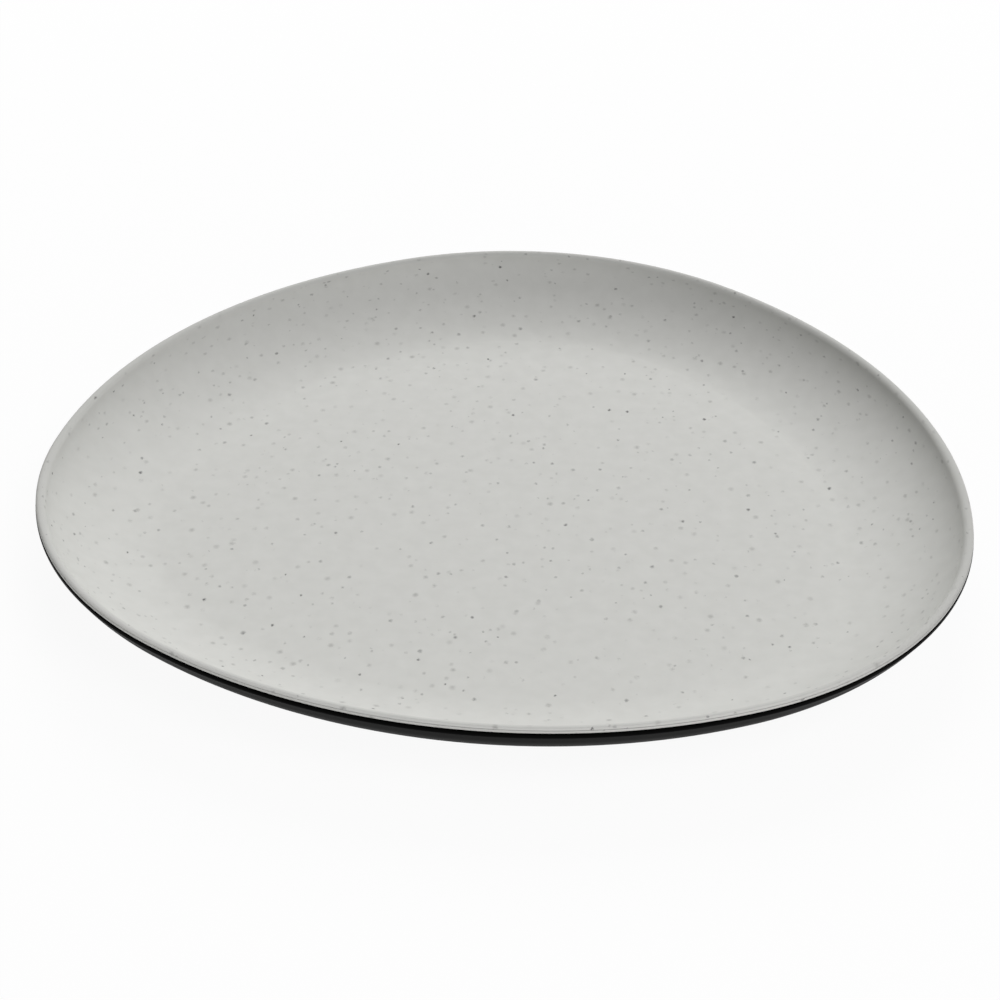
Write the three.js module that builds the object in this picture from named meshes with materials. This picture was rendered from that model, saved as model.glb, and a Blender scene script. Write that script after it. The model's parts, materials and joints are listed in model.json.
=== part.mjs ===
// A triangular coupe plate pressed in two bonded layers: a pale speckled inside that laps over the rim,
// and a black outside with a foot ring. Millimetres, +Z up, on the foot ring, one corner towards +Y.
import * as THREE from "three";

// Outline of the rim: three round corners joined by three flatter sides, equally wide in every direction.
const PLATE_WIDTH = 265;
const CORNER_RADIUS = 105;

// Inside of the plate: a flat floor, and a wall that rises to the rim along a quarter of a superellipse.
// A fullness of 2 is a true ellipse, and less is a flatter wall.
const WELL_DEPTH = 17;
const WALL_RUN = 31;
const WALL_FULLNESS = 1.67;

// The two layers and the bond line between them.
const INNER_LAYER = 1.4;
const OUTER_LAYER = 1.2;
const BOND_LINE = 0.3;

// Top of the rim, from the well outwards: a rounded inside edge, a narrow flat and a crown that falls away to
// a lip with a short upright edge. The lip stands back from the black layer, which is the widest part. That has
// an upright edge too, below the lip, and a run-out under it that leads into the wall.
const INSIDE_ROUND = 2;
const RIM_FLAT = 0.1;
const LIP_DEPTH = 1.4;
const LIP_EDGE = 0.7;
const LIP_STEP = 0.1;
const BLACK_EDGE = 1;
const EDGE_RUNOUT = 2;

// Foot ring under the base, set back from the edge of the floor, with slanted sides.
const FOOT_HEIGHT = 2;
const FOOT_FACE = 4;
const FOOT_SETBACK = 4;
const FOOT_SLANT = 0.7;

// Fineness of the faces: steps along each arc of the outline, the wall, the inside edge and the crown.
const OUTLINE_STEPS = 12;
const WALL_STEPS = 9;
const ROUND_STEPS = 3;
const CROWN_STEPS = 4;

const PALE_FINISH = { color: 0xcacbc6, roughness: 0.7, metalness: 0 };
const BLACK_FINISH = { color: 0x1d1d1b, roughness: 0.5, metalness: 0 };

const QUARTER_TURN = Math.PI / 2;
const SIXTH_TURN = Math.PI / 3;

// Heights above the table.
const wall = INNER_LAYER + BOND_LINE + OUTER_LAYER;
const floorHeight = FOOT_HEIGHT + wall;
const rimHeight = floorHeight + WELL_DEPTH;

// Section points are (reach outwards from the edge of the floor, height). The wall turns from 0 at the floor
// to a quarter turn at the rim. This is the direction square to the wall, out of the well, into the layers.
function wallOutward(turn) {
  const power = 2 - 2 / WALL_FULLNESS;
  return new THREE.Vector2(
    Math.sin(turn) ** power / WALL_RUN,
    -(Math.cos(turn) ** power) / WELL_DEPTH,
  ).normalize();
}

// A point of the inside of the wall, moved outwards through the layers by the offset.
function wallPoint(turn, offset) {
  const power = 2 / WALL_FULLNESS;
  return new THREE.Vector2(
    WALL_RUN * Math.sin(turn) ** power,
    rimHeight - WELL_DEPTH * Math.cos(turn) ** power,
  ).addScaledVector(wallOutward(turn), offset);
}

// The turn at which a face of the wall lies a depth below the top of the rim, found by halving.
function turnAtDepth(offset, depth) {
  const HALVINGS = 40;
  let low = 0;
  let high = QUARTER_TURN;
  for (let halving = 0; halving < HALVINGS; halving += 1) {
    const middle = (low + high) / 2;
    if (wallPoint(middle, offset).y < rimHeight - depth) low = middle;
    else high = middle;
  }
  return (low + high) / 2;
}

// A number of even steps from one value to another, each turned into a point.
function steppedPoints(from, to, steps, pointAt) {
  const shares = Array.from({ length: steps + 1 }, (_, step) => step / steps);
  return shares.map((share) => pointAt(THREE.MathUtils.lerp(from, to, share)));
}

// A face of the wall, from the edge of the floor up to a depth below the top of the rim.
function wallFace(offset, depth) {
  return steppedPoints(0, turnAtDepth(offset, depth), WALL_STEPS, (turn) => wallPoint(turn, offset));
}

// A rounded edge about its centre, from one lean to another. Lean 0 faces up, and a positive one outwards.
function roundedEdge(centre, radius, fromLean, toLean, steps) {
  return steppedPoints(fromLean, toLean, steps, (lean) =>
    new THREE.Vector2(Math.sin(lean), Math.cos(lean)).multiplyScalar(radius).add(centre),
  );
}

// The black layer's upright edge, under the lip, lies on the outline of the plate.
const shoulderDepth = LIP_DEPTH + BOND_LINE;
const edgeDepth = shoulderDepth + BLACK_EDGE;
const rimReach = wallPoint(turnAtDepth(wall, shoulderDepth), wall).x;

// The inside edge touches the wall and the top of the rim. The crown is an arc that starts level at the end
// of the flat and passes through the top of the lip's edge.
const insideTurn = turnAtDepth(INSIDE_ROUND, INSIDE_ROUND);
const insideCentre = wallPoint(insideTurn, INSIDE_ROUND);
const insideOutward = wallOutward(insideTurn);
const insideLean = Math.atan2(-insideOutward.x, -insideOutward.y);
const crownStart = insideCentre.x + RIM_FLAT;
const lipReach = rimReach - LIP_STEP;
const crownReach = lipReach - crownStart;
const crownDrop = LIP_DEPTH - LIP_EDGE;
const crownRadius = (crownReach ** 2 + crownDrop ** 2) / (2 * crownDrop);
const crownTurn = Math.atan2(crownReach, crownRadius - crownDrop);
const crownCentre = new THREE.Vector2(crownStart, rimHeight - crownRadius);

function innerSection() {
  const wallBelowRound = steppedPoints(0, insideTurn, WALL_STEPS, (turn) => wallPoint(turn, 0));
  return [
    ...wallBelowRound.slice(0, -1),
    ...roundedEdge(insideCentre, INSIDE_ROUND, insideLean, 0, ROUND_STEPS),
    ...roundedEdge(crownCentre, crownRadius, 0, crownTurn, CROWN_STEPS),
    new THREE.Vector2(lipReach, rimHeight - LIP_DEPTH),
    ...wallFace(INNER_LAYER, LIP_DEPTH).reverse(),
  ];
}

function outerSection() {
  const footOuter = -FOOT_SETBACK;
  const footInner = footOuter - FOOT_SLANT - FOOT_FACE;
  return [
    ...wallFace(INNER_LAYER + BOND_LINE, shoulderDepth),
    new THREE.Vector2(rimReach, rimHeight - shoulderDepth),
    new THREE.Vector2(rimReach, rimHeight - edgeDepth),
    ...wallFace(wall, edgeDepth + EDGE_RUNOUT).reverse(),
    new THREE.Vector2(footOuter, FOOT_HEIGHT),
    new THREE.Vector2(footOuter - FOOT_SLANT, 0),
    new THREE.Vector2(footInner, 0),
    new THREE.Vector2(footInner - FOOT_SLANT, FOOT_HEIGHT),
  ];
}

// Outline: corner and side arcs turn about the same three centres, so they meet without a kink.
const sideRadius = PLATE_WIDTH - CORNER_RADIUS;
const centreReach = (sideRadius - CORNER_RADIUS) / Math.sqrt(3);
const cornerReach = centreReach + CORNER_RADIUS;
const sideReach = sideRadius - centreReach;

// The point at a reach from the edge of the floor, where the rim's outward direction is the angle.
function outlinePoint(angle, reach) {
  const arc = Math.round((angle - QUARTER_TURN) / SIXTH_TURN);
  const isCorner = arc % 2 === 0;
  const centreAngle = QUARTER_TURN + arc * SIXTH_TURN + (isCorner ? 0 : Math.PI);
  const radius = (isCorner ? CORNER_RADIUS : sideRadius) + reach - rimReach;
  return new THREE.Vector2(
    centreReach * Math.cos(centreAngle) + radius * Math.cos(angle),
    centreReach * Math.sin(centreAngle) + radius * Math.sin(angle),
  );
}

// Carries a section round the outline and closes its first and last points with a floor and a base.
function sweptShell(section) {
  const stations = 6 * OUTLINE_STEPS;
  const positions = [];
  for (const { x: reach, y: height } of section) {
    for (let station = 0; station < stations; station += 1) {
      const { x, y } = outlinePoint((station * 2 * Math.PI) / stations, reach);
      positions.push(x, y, height);
    }
  }
  const lastRing = (section.length - 1) * stations;
  const floorMiddle = section.length * stations;
  const baseMiddle = floorMiddle + 1;
  positions.push(0, 0, section[0].y);
  positions.push(0, 0, section[section.length - 1].y);

  const triangles = [];
  for (let station = 0; station < stations; station += 1) {
    const next = (station + 1) % stations;
    triangles.push(floorMiddle, station, next);
    triangles.push(baseMiddle, lastRing + next, lastRing + station);
    for (let ring = 0; ring < lastRing; ring += stations) {
      const outer = ring + stations;
      triangles.push(ring + station, outer + station, outer + next);
      triangles.push(ring + station, outer + next, ring + next);
    }
  }
  const geometry = new THREE.BufferGeometry();
  geometry.setAttribute("position", new THREE.Float32BufferAttribute(positions, 3));
  geometry.setIndex(triangles);
  geometry.computeVertexNormals();
  return geometry;
}

function shell(name, section, finish) {
  const mesh = new THREE.Mesh(sweptShell(section), new THREE.MeshStandardMaterial(finish));
  mesh.name = name;
  return mesh;
}

// The origin is on the table, under the middle of the plate's length and width.
const plate = new THREE.Group();
plate.position.y = (sideReach - cornerReach) / 2;
plate.add(shell("inner_shell", innerSection(), PALE_FINISH));
plate.add(shell("outer_shell", outerSection(), BLACK_FINISH));

export default plate;
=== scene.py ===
# %% [markdown]
# # A triangular plate in two layers
# The plate looks pressed from melamine powder in two colours. A pale layer with dark specks makes the inside
# and the whole top of the rim, and a black layer makes the outside and the foot ring that it stands on.
# The solid model is loaded first and is never moved. It gives the places and sizes, and two finer meshes
# then stand in for its two solids, because the solids are built of flat faces and a pressed plate has
# none.

# %% Load the solid model
import json
import math

import bmesh
import bpy
from mathutils import Matrix, Vector


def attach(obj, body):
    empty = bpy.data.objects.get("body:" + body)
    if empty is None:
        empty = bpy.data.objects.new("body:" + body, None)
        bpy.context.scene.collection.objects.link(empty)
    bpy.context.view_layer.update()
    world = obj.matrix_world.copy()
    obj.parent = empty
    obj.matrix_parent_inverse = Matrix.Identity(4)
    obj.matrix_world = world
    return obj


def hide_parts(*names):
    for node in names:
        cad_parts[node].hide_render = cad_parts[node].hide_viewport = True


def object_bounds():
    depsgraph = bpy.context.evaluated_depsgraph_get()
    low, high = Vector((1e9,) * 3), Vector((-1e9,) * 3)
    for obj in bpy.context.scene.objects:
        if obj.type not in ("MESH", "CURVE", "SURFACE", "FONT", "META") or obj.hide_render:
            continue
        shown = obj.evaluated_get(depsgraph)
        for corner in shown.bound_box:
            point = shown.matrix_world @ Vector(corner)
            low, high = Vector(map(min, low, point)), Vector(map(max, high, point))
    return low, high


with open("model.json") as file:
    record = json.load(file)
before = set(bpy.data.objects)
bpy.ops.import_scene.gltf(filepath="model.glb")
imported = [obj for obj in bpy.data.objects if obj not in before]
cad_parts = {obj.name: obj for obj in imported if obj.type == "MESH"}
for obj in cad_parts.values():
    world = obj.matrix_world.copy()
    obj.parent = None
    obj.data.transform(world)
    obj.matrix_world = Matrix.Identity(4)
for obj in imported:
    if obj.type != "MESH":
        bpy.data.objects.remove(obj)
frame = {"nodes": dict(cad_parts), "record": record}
cad_low, cad_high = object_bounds()
print("Solids loaded:", sorted(frame["nodes"]))
print("Size in millimetres:", [round(1000 * side, 1) for side in cad_high - cad_low])

# %% [markdown]
# ## Sizes
# Blender works in metres here, and so does the loaded model. Whatever the model can tell is measured from
# it: the width and height from its box, and the height of the floor from the flat face that is marked on
# it. Only what a box can't tell is written down, such as how round the corners are and how the wall
# curves.

# %% Sizes of the plate
MM = 0.001
flat_faces = {mount["name"]: Vector(mount["pos_m"]) for mount in frame["record"]["mounts"]}
plate_width = cad_high.x - cad_low.x
rim_height = cad_high.z
floor_height = flat_faces["well_floor"].z
well_depth = rim_height - floor_height

CORNER_RADIUS = 105 * MM
WALL_RUN = 31 * MM
WALL_FULLNESS = 1.67
PALE_THICKNESS = 1.4 * MM
BLACK_THICKNESS = 1.2 * MM
BOND_LINE = 0.3 * MM
wall_thickness = PALE_THICKNESS + BOND_LINE + BLACK_THICKNESS
print(f"Well {well_depth / MM:.1f} mm deep, wall {wall_thickness / MM:.1f} mm thick")

# %% [markdown]
# ## The curve of the wall
# A coupe plate has no corner between floor and wall. In section the wall here is a quarter of a
# superellipse: it leaves the floor level, steepens evenly and is nearly upright at the rim. One formula
# gives the inside face, and the faces of the layers are the same curve moved square to itself, so the
# wall is evenly thick. Points of the section are (reach, height), and reach counts outwards from the edge
# of the flat floor.

# %% Points on the wall
HALVINGS = 40
WALL_STEPS = 36


def even_steps(start, end, count):
    """Evenly spaced values from start to end, both included."""
    return [start + (end - start) * step / count for step in range(count + 1)]


def wall_outward(turn):
    """The direction square to the wall, out of the well and into the layers."""
    power = 2 - 2 / WALL_FULLNESS
    outward = Vector((math.sin(turn) ** power / WALL_RUN, -(math.cos(turn) ** power) / well_depth))
    return outward.normalized()


def wall_point(turn, offset):
    """A point of the wall moved outwards. Turn 0 is the floor's edge, and a quarter turn is the rim."""
    power = 2 / WALL_FULLNESS
    reach = WALL_RUN * math.sin(turn) ** power
    height = rim_height - well_depth * math.cos(turn) ** power
    return Vector((reach, height)) + offset * wall_outward(turn)


def turn_at_depth(offset, depth):
    """The turn at which a face of the wall is a depth below the rim, found by halving."""
    low, high = 0, math.pi / 2
    for _ in range(HALVINGS):
        middle = (low + high) / 2
        if wall_point(middle, offset).y < rim_height - depth:
            low = middle
        else:
            high = middle
    return (low + high) / 2


def wall_face(offset, depth):
    """One face of the wall, from the floor's edge up to a depth below the rim."""
    return [wall_point(turn, offset) for turn in even_steps(0, turn_at_depth(offset, depth), WALL_STEPS)]


half_way = wall_point(turn_at_depth(0, well_depth / 2), 0)
print(f"Half way up, the inside face has gone {half_way.x / MM:.1f} mm outwards")

# %% [markdown]
# ## The rim
# The pale layer is rounded where the wall meets the rim, then falls away outwards in a crown and ends in
# a short upright lip. The black layer starts under that lip with an upright edge of its own and is the
# widest part of the plate, so a thin dark line shows all along the near side. The crown is an arc that
# starts level, and its drop gives its radius.

# %% The rim's shape
INSIDE_ROUND = 2 * MM
RIM_FLAT = 0.1 * MM
LIP_DEPTH = 1.4 * MM
LIP_EDGE = 0.7 * MM
LIP_STEP = 0.1 * MM
BLACK_EDGE = 1 * MM
EDGE_RUNOUT = 2 * MM

shoulder_depth = LIP_DEPTH + BOND_LINE
edge_depth = shoulder_depth + BLACK_EDGE
rim_reach = wall_point(turn_at_depth(wall_thickness, shoulder_depth), wall_thickness).x
inside_turn = turn_at_depth(INSIDE_ROUND, INSIDE_ROUND)
inside_centre = wall_point(inside_turn, INSIDE_ROUND)
inside_outward = wall_outward(inside_turn)
inside_lean = math.atan2(-inside_outward.x, -inside_outward.y)
crown_start = inside_centre.x + RIM_FLAT
lip_reach = rim_reach - LIP_STEP
crown_reach = lip_reach - crown_start
crown_drop = LIP_DEPTH - LIP_EDGE
crown_radius = (crown_reach**2 + crown_drop**2) / (2 * crown_drop)
crown_turn = math.atan2(crown_reach, crown_radius - crown_drop)
crown_centre = Vector((crown_start, rim_height - crown_radius))
print(f"Rim {rim_reach / MM:.2f} mm out from the floor, crown of {crown_radius / MM:.2f} mm radius")
print(f"The crown turns {math.degrees(crown_turn):.0f} degrees")

# %% [markdown]
# ## Edges that catch the light
# Nothing on a pressed plate is knife sharp, so the smaller edges are eased by a short curve too. A Bevel
# modifier could do this after the mesh is made, but in a swept section each edge is one point, and it is
# simpler to round the points first.

# %% Rounded and eased edges
EASE_STEPS = 5


def rounded_edge(centre, radius, from_lean, to_lean, count):
    """An arc of the section. Lean 0 faces up, a positive lean faces outwards."""
    leans = even_steps(from_lean, to_lean, count)
    return [centre + radius * Vector((math.sin(lean), math.cos(lean))) for lean in leans]


def eased_corner(before, corner, after, reach):
    """A corner of the section cut back by the reach on both sides and joined by a curve."""
    start = corner + reach * (before - corner).normalized()
    end = corner + reach * (after - corner).normalized()
    shares = even_steps(0, 1, EASE_STEPS)
    return [start.lerp(corner, share).lerp(corner.lerp(end, share), share) for share in shares]


# %% [markdown]
# ## The outline
# Seen from above the plate is a triangle with very round corners. Three corner arcs and three flatter
# side arcs turn about the same three centres, so the plate is equally wide whichever way it is measured.
# A spline drawn by eye would also do, but arcs stay smooth when they are offset, and every ring of the
# mesh is this outline moved inwards.

# %% Points on the outline
SIXTH_TURN = math.pi / 3
STEPS_PER_ARC = 40
STATIONS = 6 * STEPS_PER_ARC
side_radius = plate_width - CORNER_RADIUS
centre_reach = (side_radius - CORNER_RADIUS) / math.sqrt(3)
axis_y = (side_radius - CORNER_RADIUS) / 2 - centre_reach


def outline_point(angle, reach, height):
    """The point at this reach and height where the rim faces along the angle."""
    arc = round((angle - math.pi / 2) / SIXTH_TURN)
    is_corner = arc % 2 == 0
    centre_angle = math.pi / 2 + arc * SIXTH_TURN + (0 if is_corner else math.pi)
    radius = (CORNER_RADIUS if is_corner else side_radius) + reach - rim_reach
    x = centre_reach * math.cos(centre_angle) + radius * math.cos(angle)
    y = centre_reach * math.sin(centre_angle) + radius * math.sin(angle) + axis_y
    return Vector((x, y, height))


print(f"Corner arcs of {CORNER_RADIUS / MM:.0f} mm and side arcs of {side_radius / MM:.0f} mm")

# %% [markdown]
# ## From section to mesh
# Each point of a section becomes a ring of vertices round the outline, and neighbouring rings are joined
# with four-sided faces. A Screw or Spin modifier can only sweep round a circle, so the rings are made in
# bmesh. The first and last rings are closed with a fan, where the face is flat. A Weighted Normal
# modifier then keeps the flat faces flat next to the tightly rounded edges.

# %% A shell swept round the outline
FLOOR_RINGS = 6
MIDDLE = -60 * MM


def level_rings(from_reach, to_reach, height):
    """Evenly spaced points of a level face."""
    return [Vector((reach, height)) for reach in even_steps(from_reach, to_reach, FLOOR_RINGS)]


def swept_shell(name, section):
    """A closed mesh object: the section carried round the outline and closed in the middle at both ends."""
    shell = bmesh.new()
    angles = [2 * math.pi * station / STATIONS for station in range(STATIONS)]
    rings = [[shell.verts.new(outline_point(angle, *point)) for angle in angles] for point in section]
    first_middle = shell.verts.new((0, axis_y, section[0].y))
    last_middle = shell.verts.new((0, axis_y, section[-1].y))
    for station in range(STATIONS):
        following = (station + 1) % STATIONS
        shell.faces.new((first_middle, rings[0][station], rings[0][following]))
        shell.faces.new((last_middle, rings[-1][following], rings[-1][station]))
        for ring, outer in zip(rings, rings[1:]):
            shell.faces.new((ring[station], outer[station], outer[following], ring[following]))
    for face in shell.faces:
        face.smooth = True
    mesh = bpy.data.meshes.new(name)
    shell.to_mesh(mesh)
    shell.free()
    piece = bpy.data.objects.new(name, mesh)
    bpy.context.scene.collection.objects.link(piece)
    piece.modifiers.new("even_shading", "WEIGHTED_NORMAL")
    print(f"{name}: {len(mesh.vertices)} vertices, {len(mesh.polygons)} faces")
    return piece


# %% [markdown]
# ## The speckled layer
# This is the layer that food lies on. Going outwards from the middle, the section is the floor, the
# inside of the wall, the rounded top of the rim, the short lip that laps over the black layer, and then
# the hidden face that is bonded to it.

# %% Make the speckled layer
ROUND_STEPS = 10
CROWN_STEPS = 12
LIP_EASE = 0.25 * MM

crown = rounded_edge(crown_centre, crown_radius, 0, crown_turn, CROWN_STEPS)
lip_end = Vector((lip_reach, rim_height - LIP_DEPTH))
pale_bond_face = wall_face(PALE_THICKNESS, LIP_DEPTH)
pale_section = (
    level_rings(MIDDLE, 0, floor_height)
    + [wall_point(turn, 0) for turn in even_steps(0, inside_turn, WALL_STEPS)][1:]
    + rounded_edge(inside_centre, INSIDE_ROUND, inside_lean, 0, ROUND_STEPS)[1:]
    + crown[:-1]
    + eased_corner(crown[-2], crown[-1], lip_end, LIP_EASE)
    + eased_corner(crown[-1], lip_end, pale_bond_face[-1], LIP_EASE)
    + pale_bond_face[::-1]
    + level_rings(0, MIDDLE, floor_height - PALE_THICKNESS)[1:]
)
speckled_layer = swept_shell("speckled_layer", pale_section)
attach(speckled_layer, "root")
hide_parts("inner_shell")

# %% [markdown]
# ## The black layer
# The black layer backs the speckled one and stops just under its lip. On the outside it starts with an
# upright edge, which runs out into the same curve as the inside. That leads down to a level base, and a
# low ring with slanted sides is pressed in one with it. The plate stands on that ring, so its edges are
# eased a little more.

# %% Make the black layer
FOOT_FACE = 4 * MM
FOOT_SETBACK = 4 * MM
FOOT_SLANT = 0.7 * MM
FOOT_EASE = 0.5 * MM
SHOULDER_EASE = 0.12 * MM
EDGE_EASE = 0.4 * MM
base_height = floor_height - wall_thickness
bond_offset = PALE_THICKNESS + BOND_LINE

black_bond_face = wall_face(bond_offset, shoulder_depth)
shoulder = Vector((rim_reach, rim_height - shoulder_depth))
edge_end = Vector((rim_reach, rim_height - edge_depth))
outside_face = wall_face(wall_thickness, edge_depth + EDGE_RUNOUT)[::-1]
foot_outer = -FOOT_SETBACK
foot_inner = foot_outer - FOOT_SLANT - FOOT_FACE
foot_path = [
    outside_face[-1],
    Vector((foot_outer, base_height)),
    Vector((foot_outer - FOOT_SLANT, 0)),
    Vector((foot_inner, 0)),
    Vector((foot_inner - FOOT_SLANT, base_height)),
    Vector((MIDDLE, base_height)),
]
foot_section = [
    point
    for before, corner, after in zip(foot_path, foot_path[1:], foot_path[2:])
    for point in eased_corner(before, corner, after, FOOT_EASE)
]
black_section = (
    level_rings(MIDDLE, 0, floor_height - bond_offset)
    + black_bond_face[1:]
    + eased_corner(black_bond_face[-1], shoulder, edge_end, SHOULDER_EASE)
    + eased_corner(shoulder, edge_end, outside_face[0], EDGE_EASE)
    + outside_face
    + foot_section
    + level_rings(foot_section[-1].x, MIDDLE, base_height)[1:]
)
black_layer = swept_shell("black_layer", black_section)
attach(black_layer, "root")
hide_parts("outer_shell")

# %% [markdown]
# ## Helpers for node trees
# A material is a tree of nodes, and the same three steps come back for each node: add it, set its
# options, and fill or link its inputs. One helper does all three. Effects that both materials use become
# node groups, which are built once, have named sockets, and are placed in each material with values of
# their own.

# %% Helpers for node trees
def add_node(tree, kind, inputs=None, **options):
    """Adds a node. An input is a value, or the output of another node, which is then linked."""
    node = tree.nodes.new(kind)
    for option, value in options.items():
        setattr(node, option, value)
    for socket, source in (inputs or {}).items():
        if isinstance(source, bpy.types.NodeSocket):
            tree.links.new(source, node.inputs[socket])
        else:
            node.inputs[socket].default_value = source
    return node


def math_node(tree, operation, first, second):
    """The result of a sum on two values."""
    return add_node(tree, "ShaderNodeMath", {0: first, 1: second}, operation=operation).outputs[0]


def vector_node(tree, operation, first, second):
    """The result of a sum on two vectors."""
    return add_node(tree, "ShaderNodeVectorMath", {0: first, 1: second}, operation=operation).outputs[0]


def mixed_colour(tree, share, first, second):
    """The first colour, or the second one where the share is 1."""
    FACTOR, FIRST, SECOND, RESULT = 0, 6, 7, 2
    inputs = {FACTOR: share, FIRST: first, SECOND: second}
    return add_node(tree, "ShaderNodeMix", inputs, data_type="RGBA").outputs[RESULT]


def new_group(name, inputs, outputs):
    """An empty shader node group with named sockets, and the nodes that hold them."""
    group = bpy.data.node_groups.new(name, "ShaderNodeTree")
    for socket_name, (kind, value) in inputs.items():
        socket = group.interface.new_socket(socket_name, in_out="INPUT", socket_type=kind)
        socket.default_value = value
    for socket_name, kind in outputs.items():
        group.interface.new_socket(socket_name, in_out="OUTPUT", socket_type=kind)
    return group, group.nodes.new("NodeGroupInput").outputs, group.nodes.new("NodeGroupOutput").inputs


def place_group(tree, group, inputs):
    """Puts a group into a material and returns its outputs."""
    return add_node(tree, "ShaderNodeGroup", inputs, node_tree=group).outputs


# %% [markdown]
# ## Specks
# Dark grains are stirred into the pale powder, so the plate's surface cuts through them at random: some
# are sliced in the middle and look large, others are only touched. A Voronoi texture in three dimensions
# does just that. Each cell holds one grain, a ball about the cell's point, and the surface shows where it
# passes through. A little noise makes the balls ragged, and a stretch turns them into flakes.

# %% Node group for specks
RAGGED_DETAIL = 1 / (0.6 * MM)
SMALLEST_GRAIN = 0.45
NOISE_MIDDLE = 0.5

specks, given, result = new_group(
    "specks",
    {
        "Spacing": ("NodeSocketFloat", 4 * MM),
        "Grain Size": ("NodeSocketFloat", 0.4 * MM),
        "Softness": ("NodeSocketFloat", 0.4),
        "Raggedness": ("NodeSocketFloat", 0.7 * MM),
        "Stretch": ("NodeSocketVector", (1, 1, 1)),
        "Shift": ("NodeSocketVector", (0, 0, 0)),
    },
    {"Mask": "NodeSocketFloat", "Shade": "NodeSocketFloat"},
)
place_on_plate = add_node(specks, "ShaderNodeTexCoord").outputs["Object"]
ragged_noise = add_node(specks, "ShaderNodeTexNoise", {"Vector": place_on_plate, "Scale": RAGGED_DETAIL})
ragged_centred = vector_node(specks, "SUBTRACT", ragged_noise.outputs["Color"], 3 * (NOISE_MIDDLE,))
ragged_push = vector_node(specks, "MULTIPLY", ragged_centred, given["Raggedness"])
pushed = vector_node(specks, "ADD", place_on_plate, ragged_push)
shifted = vector_node(specks, "ADD", pushed, given["Shift"])
stretched = vector_node(specks, "DIVIDE", shifted, given["Stretch"])
cells_per_metre = math_node(specks, "DIVIDE", 1, given["Spacing"])
cells = add_node(specks, "ShaderNodeTexVoronoi", {"Vector": stretched, "Scale": cells_per_metre}).outputs
chance = add_node(specks, "ShaderNodeSeparateColor", {"Color": cells["Color"]}).outputs
size_share = add_node(specks, "ShaderNodeMapRange", {"Value": chance["Red"], "To Min": SMALLEST_GRAIN})
largest = math_node(specks, "MULTIPLY", given["Grain Size"], cells_per_metre)
grain_edge = math_node(specks, "MULTIPLY", largest, size_share.outputs["Result"])
core_share = math_node(specks, "SUBTRACT", 1, given["Softness"])
grain_core = math_node(specks, "MULTIPLY", grain_edge, core_share)
grain = add_node(
    specks,
    "ShaderNodeMapRange",
    {"Value": cells["Distance"], "From Min": grain_edge, "From Max": grain_core},
    interpolation_type="SMOOTHSTEP",
)
specks.links.new(grain.outputs["Result"], result["Mask"])
specks.links.new(chance["Green"], result["Shade"])
print("Node group", specks.name, "with", len(specks.nodes), "nodes")

# %% [markdown]
# ## Pressed skin
# A polished steel mould leaves melamine smooth, but not perfect: there is a faint waviness like orange
# peel, and some patches are a little shinier or duller than others. One group gives a normal with such low
# bumps, a roughness that drifts, and a mask of the dull patches. Both layers come out of the same press,
# so both materials use it.

# %% Node group for the pressed skin
PEEL_DETAIL = 1 / (1.6 * MM)
FINE_DETAIL = 1 / (0.25 * MM)
PATCH_DETAIL = 4
PATCH_START = 0.3
PATCH_END = 0.7
BUMP_DEPTH = 0.02 * MM

pressed_skin, given, result = new_group(
    "pressed_skin",
    {
        "Roughness": ("NodeSocketFloat", 0.4),
        "Patchiness": ("NodeSocketFloat", 0.1),
        "Fine Grain": ("NodeSocketFloat", 0.3),
        "Patch Size": ("NodeSocketFloat", 20 * MM),
        "Bump Strength": ("NodeSocketFloat", 0.2),
    },
    {"Roughness": "NodeSocketFloat", "Normal": "NodeSocketVector", "Patch": "NodeSocketFloat"},
)
place_on_plate = add_node(pressed_skin, "ShaderNodeTexCoord").outputs["Object"]
peel = add_node(pressed_skin, "ShaderNodeTexNoise", {"Vector": place_on_plate, "Scale": PEEL_DETAIL})
fine = add_node(pressed_skin, "ShaderNodeTexNoise", {"Vector": place_on_plate, "Scale": FINE_DETAIL})
patches_per_metre = math_node(pressed_skin, "DIVIDE", 1, given["Patch Size"])
patch_inputs = {"Vector": place_on_plate, "Scale": patches_per_metre, "Detail": PATCH_DETAIL}
patch = add_node(pressed_skin, "ShaderNodeTexNoise", patch_inputs).outputs["Fac"]
patch_range = {"Value": patch, "From Min": PATCH_START, "From Max": PATCH_END}
patch_mask = add_node(pressed_skin, "ShaderNodeMapRange", patch_range).outputs["Result"]
patch_centred = math_node(pressed_skin, "SUBTRACT", patch, NOISE_MIDDLE)
patch_drift = math_node(pressed_skin, "MULTIPLY", patch_centred, given["Patchiness"])
skin_roughness = math_node(pressed_skin, "ADD", given["Roughness"], patch_drift)
fine_height = math_node(pressed_skin, "MULTIPLY", fine.outputs["Fac"], given["Fine Grain"])
skin_height = math_node(pressed_skin, "ADD", peel.outputs["Fac"], fine_height)
pressed_skin.links.new(skin_roughness, result["Roughness"])
bump_inputs = {"Height": skin_height, "Strength": given["Bump Strength"], "Distance": BUMP_DEPTH}
bump = add_node(pressed_skin, "ShaderNodeBump", bump_inputs).outputs["Normal"]
pressed_skin.links.new(bump, result["Normal"])
pressed_skin.links.new(patch_mask, result["Patch"])
print("Node group", pressed_skin.name, "with", len(pressed_skin.nodes), "nodes")
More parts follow.
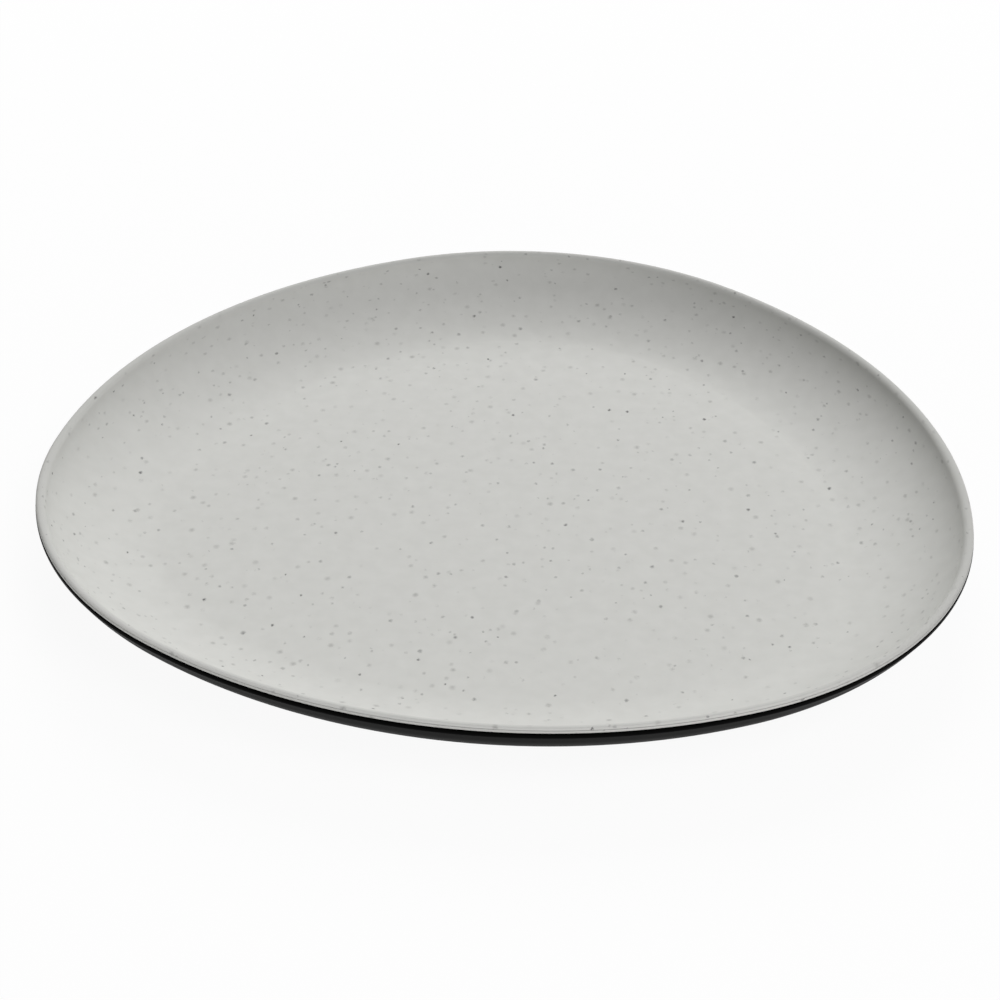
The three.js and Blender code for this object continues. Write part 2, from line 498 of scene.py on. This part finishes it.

# %% [markdown]
# ## Height band
# The rim and the black just under it carry painted shade, and the face of the foot ring has a tone of
# its own. All of these lie at a certain height on the plate, so a mask that rises between two heights
# can place them.

# %% Node group for a band at a height
height_band, given, result = new_group(
    "height_band",
    {"From": ("NodeSocketFloat", 0), "To": ("NodeSocketFloat", 1 * MM)},
    {"Mask": "NodeSocketFloat"},
)
place_on_plate = add_node(height_band, "ShaderNodeTexCoord").outputs["Object"]
height = add_node(height_band, "ShaderNodeSeparateXYZ", {"Vector": place_on_plate}).outputs["Z"]
band = add_node(
    height_band,
    "ShaderNodeMapRange",
    {"Value": height, "From Min": given["From"], "From Max": given["To"]},
)
height_band.links.new(band.outputs["Result"], result["Mask"])
print("Node group", height_band.name, "with", len(height_band.nodes), "nodes")

# %% [markdown]
# ## Speckled melamine
# The pale colour is a warm light grey that drifts a little, as mixed powder does. In the photograph the
# rim is a shade darker than the wall, mostly on the far sides, and the lip of the near side is paler. The
# real rim is probably alike all round: sharpening of the picture makes part of the difference and the fall
# of the light the rest, so here the darker rim is painted shade and the paler near lip a painted highlight.
# The lip is found by its distance from the middle, measured along the normal: only faces that look
# outwards have a large one.

# %% Colour of the speckled layer
PALE = (0.632, 0.634, 0.606, 1)
DULL_PALE = (0.606, 0.608, 0.58, 1)
# The two rim colours are painted shade, darker on the far side, and the near lip colour is a painted
# highlight.
FAR_RIM_PAINTED_SHADE = (0.53, 0.531, 0.507, 1)
NEAR_RIM_PAINTED_SHADE = (0.575, 0.576, 0.55, 1)
NEAR_LIP_PAINTED_LIGHT = (0.8, 0.801, 0.765, 1)
RIM_SHADE_DEPTH = 1 * MM
LIP_START = 45 * MM
LIP_END = 100 * MM
NEAR_SIDE = -115 * MM
FAR_SIDE = -60 * MM
PALE_SKIN = {
    "Roughness": 0.7,
    "Patchiness": 0.1,
    "Fine Grain": 0.35,
    "Patch Size": 5 * MM,
    "Bump Strength": 0.15,
}


def new_material(name):
    """A material with an empty tree but for its Principled BSDF and output."""
    material = bpy.data.materials.new(name)
    material.use_nodes = True
    return material, material.node_tree, material.node_tree.nodes["Principled BSDF"].inputs


speckled_melamine, tree, surface = new_material("speckled_melamine")
skin = place_group(tree, pressed_skin, PALE_SKIN)
powder = mixed_colour(tree, skin["Patch"], PALE, DULL_PALE)
coordinates = add_node(tree, "ShaderNodeTexCoord").outputs
place_on_plate = coordinates["Object"]
to_the_back = add_node(tree, "ShaderNodeSeparateXYZ", {"Vector": place_on_plate}).outputs["Y"]
sides = {"Value": to_the_back, "From Min": NEAR_SIDE, "From Max": FAR_SIDE}
away = add_node(tree, "ShaderNodeMapRange", sides).outputs["Result"]
# Painted shade: the top millimetre of the rim is darkened, more on the far sides than on the near side.
edge = place_group(tree, height_band, {"From": rim_height - RIM_SHADE_DEPTH, "To": rim_height})["Mask"]
colour = mixed_colour(tree, edge, powder, mixed_colour(tree, away, NEAR_RIM_PAINTED_SHADE, FAR_RIM_PAINTED_SHADE))
# Painted highlight: the outward-facing lip on the near side is made paler.
facing = {0: place_on_plate, 1: coordinates["Normal"]}
outwards = add_node(tree, "ShaderNodeVectorMath", facing, operation="DOT_PRODUCT").outputs["Value"]
lip_range = {"Value": outwards, "From Min": LIP_START, "From Max": LIP_END}
lip = add_node(tree, "ShaderNodeMapRange", lip_range).outputs["Result"]
painted_light_share = math_node(tree, "MULTIPLY", lip, math_node(tree, "SUBTRACT", 1, away))
colour = mixed_colour(tree, painted_light_share, colour, NEAR_LIP_PAINTED_LIGHT)
print("Powder and rim colours mixed with", len(tree.nodes), "nodes")

# %% [markdown]
# ## Grains in the powder
# Three lots of specks lie over that colour: grains that are cut open and look dark, smaller ones, and
# faint soft ones that lie just under the skin and show through it. A single Voronoi with one size would
# look printed, and mixing three sizes gives the scatter of a real powder. Each lot is a colour, a
# spacing, a grain size, a softness and a stretch, and is shifted so that the lots don't line up.

# %% Grains of the speckled layer
DARK_GRAIN = (0.09, 0.09, 0.087, 1)
MIDDLE_GRAIN = (0.28, 0.28, 0.27, 1)
FAINT_GRAIN = (0.42, 0.42, 0.4, 1)
FAINTEST = 0.35
LOT_SHIFT = Vector((0.1, 0.2, 0.3))
GRAIN_LOTS = [
    (DARK_GRAIN, 5.8 * MM, 0.8 * MM, 0.85, (1, 1.45, 0.5)),
    (MIDDLE_GRAIN, 4.4 * MM, 0.9 * MM, 0.85, (1.1, 1.45, 0.5)),
    (FAINT_GRAIN, 3.6 * MM, 1.1 * MM, 0.95, (1.2, 1.5, 0.55)),
]

for lot, (grain_colour, spacing, size, softness, stretch) in enumerate(GRAIN_LOTS):
    values = {"Spacing": spacing, "Grain Size": size, "Softness": softness, "Stretch": stretch}
    grains = place_group(tree, specks, values | {"Shift": lot * LOT_SHIFT})
    strength = add_node(tree, "ShaderNodeMapRange", {"Value": grains["Shade"], "To Min": FAINTEST})
    share = math_node(tree, "MULTIPLY", grains["Mask"], strength.outputs["Result"])
    colour = mixed_colour(tree, share, colour, grain_colour)
print("Grain lots:", len(GRAIN_LOTS))

# %% [markdown]
# ## Finish of the speckled layer
# The inside is matte, so the sheen is broad and weak. The bump is far too low to see as a shape, and only
# breaks up the sheen. Real displacement would cost many more faces and show no difference from here.

# %% Finish of the speckled layer
PALE_SPECULAR = 0.2

tree.links.new(colour, surface["Base Color"])
tree.links.new(skin["Roughness"], surface["Roughness"])
tree.links.new(skin["Normal"], surface["Normal"])
surface["Specular IOR Level"].default_value = PALE_SPECULAR
speckled_layer.data.materials.append(speckled_melamine)
print("Material", speckled_melamine.name, "with", len(tree.nodes), "nodes")

# %% [markdown]
# ## Black melamine
# The outside has no specks. In the photograph it is a deep black just under the rim, and further down it
# looks more like charcoal with a satin skin. The deep black under the lip is painted shade, and that band
# is also made a little glossier. The underside can't be seen there. The face of the foot ring is made a
# little paler, because a table would rub it.

# %% Material of the black layer
SATIN_BLACK = (0.011, 0.011, 0.0106, 1)
DULL_BLACK = (0.016, 0.016, 0.0154, 1)
# The deepest black below is painted shade under the lip; the paler foot ring colour after it is wear.
UNDER_LIP_PAINTED_SHADE = (0.001, 0.001, 0.001, 1)
RUBBED_BLACK = (0.035, 0.035, 0.0338, 1)
BLACK_SKIN = {
    "Roughness": 0.42,
    "Patchiness": 0.12,
    "Fine Grain": 0.6,
    "Patch Size": 14 * MM,
    "Bump Strength": 0.2,
}
UNDER_LIP_BAND = {"From": rim_height - 5 * MM, "To": rim_height - 1.4 * MM}
RUBBED_BAND = {"From": 0.4 * MM, "To": 0.05 * MM}
UNDER_LIP_GLOSS = 0.12
BLACK_SPECULAR = 0.008

black_melamine, tree, surface = new_material("black_melamine")
skin = place_group(tree, pressed_skin, BLACK_SKIN)
satin = mixed_colour(tree, skin["Patch"], SATIN_BLACK, DULL_BLACK)
under_lip_shade_and_gloss = place_group(tree, height_band, UNDER_LIP_BAND)["Mask"]
rubbed = place_group(tree, height_band, RUBBED_BAND)["Mask"]
# Painted shade: the band under the lip is a deeper black, and the same mask makes it a little glossier.
colour = mixed_colour(tree, under_lip_shade_and_gloss, satin, UNDER_LIP_PAINTED_SHADE)
colour = mixed_colour(tree, rubbed, colour, RUBBED_BLACK)
shine = math_node(tree, "MULTIPLY", under_lip_shade_and_gloss, UNDER_LIP_GLOSS)
roughness = math_node(tree, "SUBTRACT", skin["Roughness"], shine)
tree.links.new(colour, surface["Base Color"])
tree.links.new(roughness, surface["Roughness"])
tree.links.new(skin["Normal"], surface["Normal"])
surface["Specular IOR Level"].default_value = BLACK_SPECULAR
black_layer.data.materials.append(black_melamine)
print("Material", black_melamine.name, "with", len(tree.nodes), "nodes")

# %% [markdown]
# ## Floor and background
# The plate stands on a plain pale floor that has to be white in the picture, without any more light on
# the plate. The Light Path node makes that possible: rays from the camera, in reflections and through
# glass see mostly emission at strength 1, which is white, and rays that light the plate see a plain pale
# floor. A small share of what the camera sees stays a shaded surface, which keeps the plate's shadow.
# That share fades out away from the plate, so that the floor meets the white background without a line.
# Seen from below, the floor is clear, so that the foot ring and the base can be looked at too.

# %% Floor and white background
FLOOR_SIZE = 60
FLOOR_GAP = 0.1 * MM
FLOOR_COLOUR = (0.9, 0.9, 0.9, 1)
FLOOR_ROUGHNESS = 0.9
WHITE = (1, 1, 1, 1)
WHITE_SHARE = 0.94
FADE_START = 0.2
FADE_END = 0.7


def seen_directly(tree):
    """1 for rays from the camera, in reflections and through glass, and 0 for rays that light a surface."""
    path = add_node(tree, "ShaderNodeLightPath").outputs
    mirrored = math_node(tree, "MAXIMUM", path["Is Glossy Ray"], path["Is Transmission Ray"])
    return math_node(tree, "MAXIMUM", path["Is Camera Ray"], mirrored)


bpy.ops.mesh.primitive_plane_add(size=FLOOR_SIZE, location=(0, 0, -FLOOR_GAP))
floor = bpy.context.object
floor.name = "floor"
pale_floor, tree, surface = new_material("pale_floor")
surface["Base Color"].default_value = FLOOR_COLOUR
surface["Roughness"].default_value = FLOOR_ROUGHNESS
surface["Specular IOR Level"].default_value = 0
shaded = tree.nodes["Principled BSDF"].outputs[0]
glow = add_node(tree, "ShaderNodeEmission", {"Color": WHITE, "Strength": 1}).outputs[0]
place_on_floor = add_node(tree, "ShaderNodeTexCoord").outputs["Object"]
away = add_node(tree, "ShaderNodeVectorMath", {0: place_on_floor}, operation="LENGTH").outputs["Value"]
fade = {"Value": away, "From Min": FADE_START, "From Max": FADE_END, "To Min": WHITE_SHARE}
white_share = add_node(tree, "ShaderNodeMapRange", fade).outputs["Result"]
glow_share = math_node(tree, "MULTIPLY", white_share, seen_directly(tree))
lit_floor = add_node(tree, "ShaderNodeMixShader", {0: glow_share, 1: shaded, 2: glow}).outputs[0]
from_below = add_node(tree, "ShaderNodeNewGeometry").outputs["Backfacing"]
clear = add_node(tree, "ShaderNodeBsdfTransparent").outputs[0]
one_sided = add_node(tree, "ShaderNodeMixShader", {0: from_below, 1: lit_floor, 2: clear}).outputs[0]
tree.links.new(one_sided, tree.nodes["Material Output"].inputs["Surface"])
floor.data.materials.append(pale_floor)
print("Floor of", FLOOR_SIZE, "metres")

# %% [markdown]
# ## Light
# The inside of the wall tells where the light stands: it is darkest at the back right, which faces away
# from every lamp, and brightest at the front left. So one large soft box hangs behind the plate, a second
# one stands at the front right, and a weak glow from all sides fills the shadows. Both stand far off, so
# that the floor of the plate is evenly bright. The strengths are set so that a colour renders about as
# written.

# %% Lamps and world
plate_middle = Vector((0, 0, floor_height))


def soft_lamp(name, azimuth, elevation, distance, size, power, colour=(1, 1, 1)):
    """A square soft box that faces the plate. Azimuth 0 is at the right, 90 degrees is behind the plate."""
    lamp = bpy.data.lights.new(name, "AREA")
    lamp.size = size
    lamp.energy = power
    lamp.color = colour
    stand = bpy.data.objects.new(name, lamp)
    level, rise = math.radians(azimuth), math.radians(elevation)
    aim = Vector((math.cos(level) * math.cos(rise), math.sin(level) * math.cos(rise), math.sin(rise)))
    stand.location = plate_middle + distance * aim
    stand.rotation_euler = aim.to_track_quat("Z", "Y").to_euler()
    bpy.context.scene.collection.objects.link(stand)
    print(f"{name}: {power} W at {distance} m, {azimuth} degrees round and {elevation} up")


soft_lamp("back_lamp", azimuth=98, elevation=35, distance=5, size=2.8, power=178)
soft_lamp("side_lamp", azimuth=323, elevation=50, distance=5, size=2.8, power=119, colour=(0.99, 0.985, 1))

# %% [markdown]
# ## World
# The world is the weak glow that fills the shadows, but the background has to be white in the picture.
# Light Path tells the two uses apart, as it does for the floor: rays that are seen directly meet plain
# white, and rays that light a surface meet the glow.

# %% World behind the plate
FILL_STRENGTH = 0.16

world = bpy.data.worlds.new("studio")
bpy.context.scene.world = world
world.use_nodes = True
tree = world.node_tree
fill = tree.nodes["Background"]
fill.inputs["Color"].default_value = WHITE
fill.inputs["Strength"].default_value = FILL_STRENGTH
backdrop = add_node(tree, "ShaderNodeBackground", {"Color": WHITE, "Strength": 1}).outputs[0]
chosen = add_node(tree, "ShaderNodeMixShader", {0: seen_directly(tree), 1: fill.outputs[0], 2: backdrop})
tree.links.new(chosen.outputs[0], tree.nodes["World Output"].inputs["Surface"])
print("World glow of", FILL_STRENGTH)

# %% [markdown]
# ## Camera
# The photograph looks down at the plate from in front, a little to the right of one side, with a long
# lens. Its angles were found by laying the outline of the plate over the photograph and turning the
# camera until rim and black edge both met their lines. The camera aims at a point in front of the plate's
# middle, level with the rim.

# %% Camera
VIEW_TURN = math.radians(7.99)
VIEW_ELEVATION = math.radians(32.08)
VIEW_ROLL = math.radians(1.53)
VIEW_DISTANCE = 662.5 * MM
AIM = Vector((-3.02 * MM, -23.6 * MM, 0))
LENS = 84.69
SENSOR = 36
NEAREST = 10 * MM

camera = bpy.data.objects.new("camera", bpy.data.cameras.new("camera"))
bpy.context.scene.collection.objects.link(camera)
bpy.context.scene.camera = camera
camera.data.lens = LENS
camera.data.sensor_width = SENSOR
camera.data.clip_start = NEAREST
step_back = VIEW_DISTANCE * Vector((0, -math.cos(VIEW_ELEVATION), math.sin(VIEW_ELEVATION)))
camera.matrix_world = (
    Matrix.Translation((0, axis_y, rim_height))
    @ Matrix.Rotation(VIEW_TURN, 4, "Z")
    @ Matrix.Translation(AIM + step_back)
    @ Matrix.Rotation(math.pi / 2 - VIEW_ELEVATION, 4, "X")
    @ Matrix.Rotation(VIEW_ROLL, 4, "Z")
)
bpy.context.scene.view_settings.view_transform = "Standard"
print("Camera at", [round(value, 3) for value in camera.matrix_world.translation])
